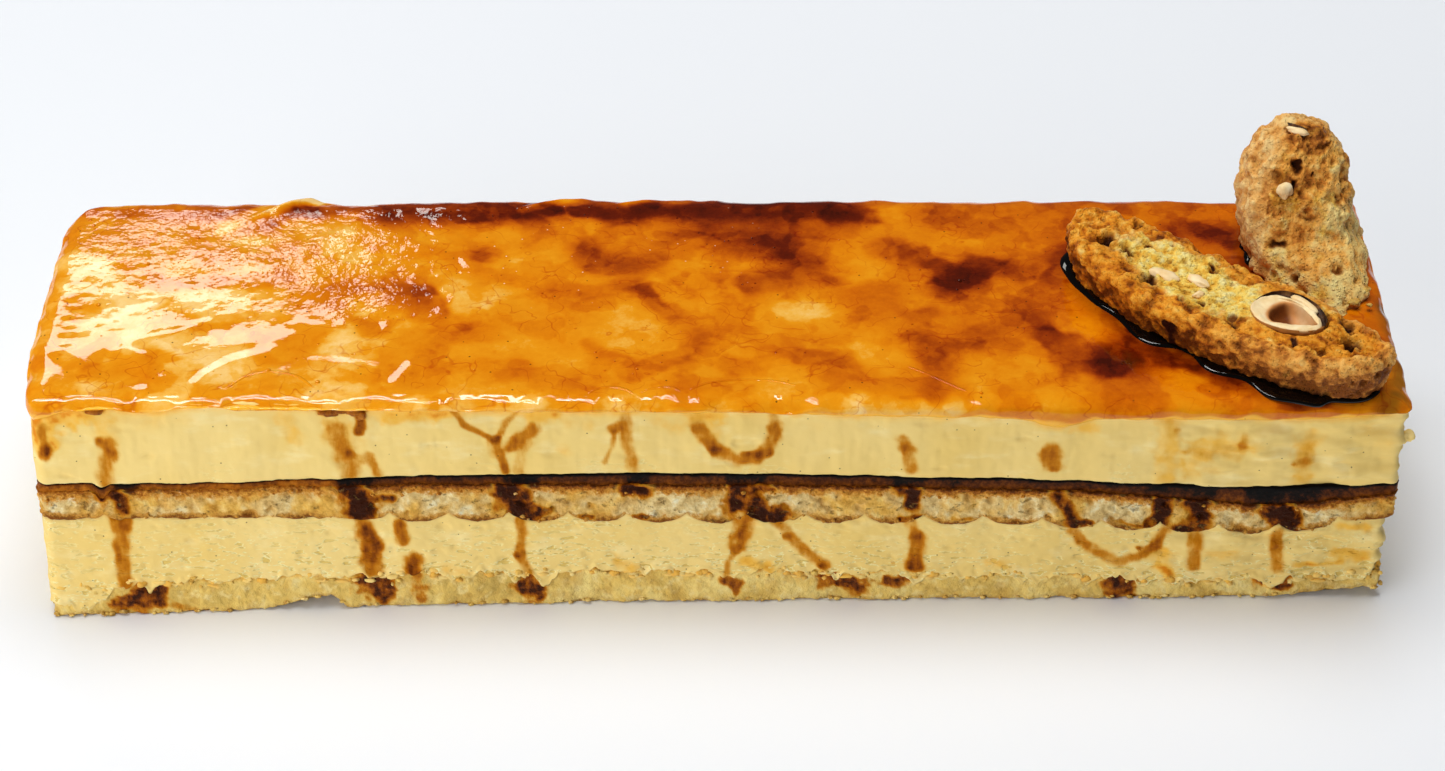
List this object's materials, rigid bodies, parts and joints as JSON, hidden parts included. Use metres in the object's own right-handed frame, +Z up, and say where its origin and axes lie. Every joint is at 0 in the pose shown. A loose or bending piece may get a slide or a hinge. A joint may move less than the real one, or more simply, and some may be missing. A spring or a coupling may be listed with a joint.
{
  "type": "mousse cake",
  "caption": "Long rectangular layered mousse cake with coffee syrup, ladyfinger sponge, a caramel glaze and almond biscuits resting on top.",
  "frame": {"origin": "on the table, under the middle of the cake's top outline", "axes": "+X along the cake to the end with the biscuits, -Y out of the long front face of the picture, +Z up"},
  "size_m": [0.3034, 0.0878, 0.0878],
  "materials": {
    "sponge": "moist open crumb",
    "mousse": "smooth and slightly moist",
    "coffee_syrup": "wet",
    "caramel": "glossy set gel",
    "biscuit": "dry baked crumb",
    "hazelnut": "cut nut"
  },
  "bodies": {
    "root": {"sponge_base": "sponge", "mousse_lower": "mousse", "ladyfinger_sponge": "sponge", "coffee_syrup": "coffee_syrup", "mousse_upper": "mousse", "caramel_glaze": "caramel", "biscuit_lying": "biscuit", "hazelnut": "hazelnut", "biscuit_standing": "biscuit"}
  },
  "joints": []
}
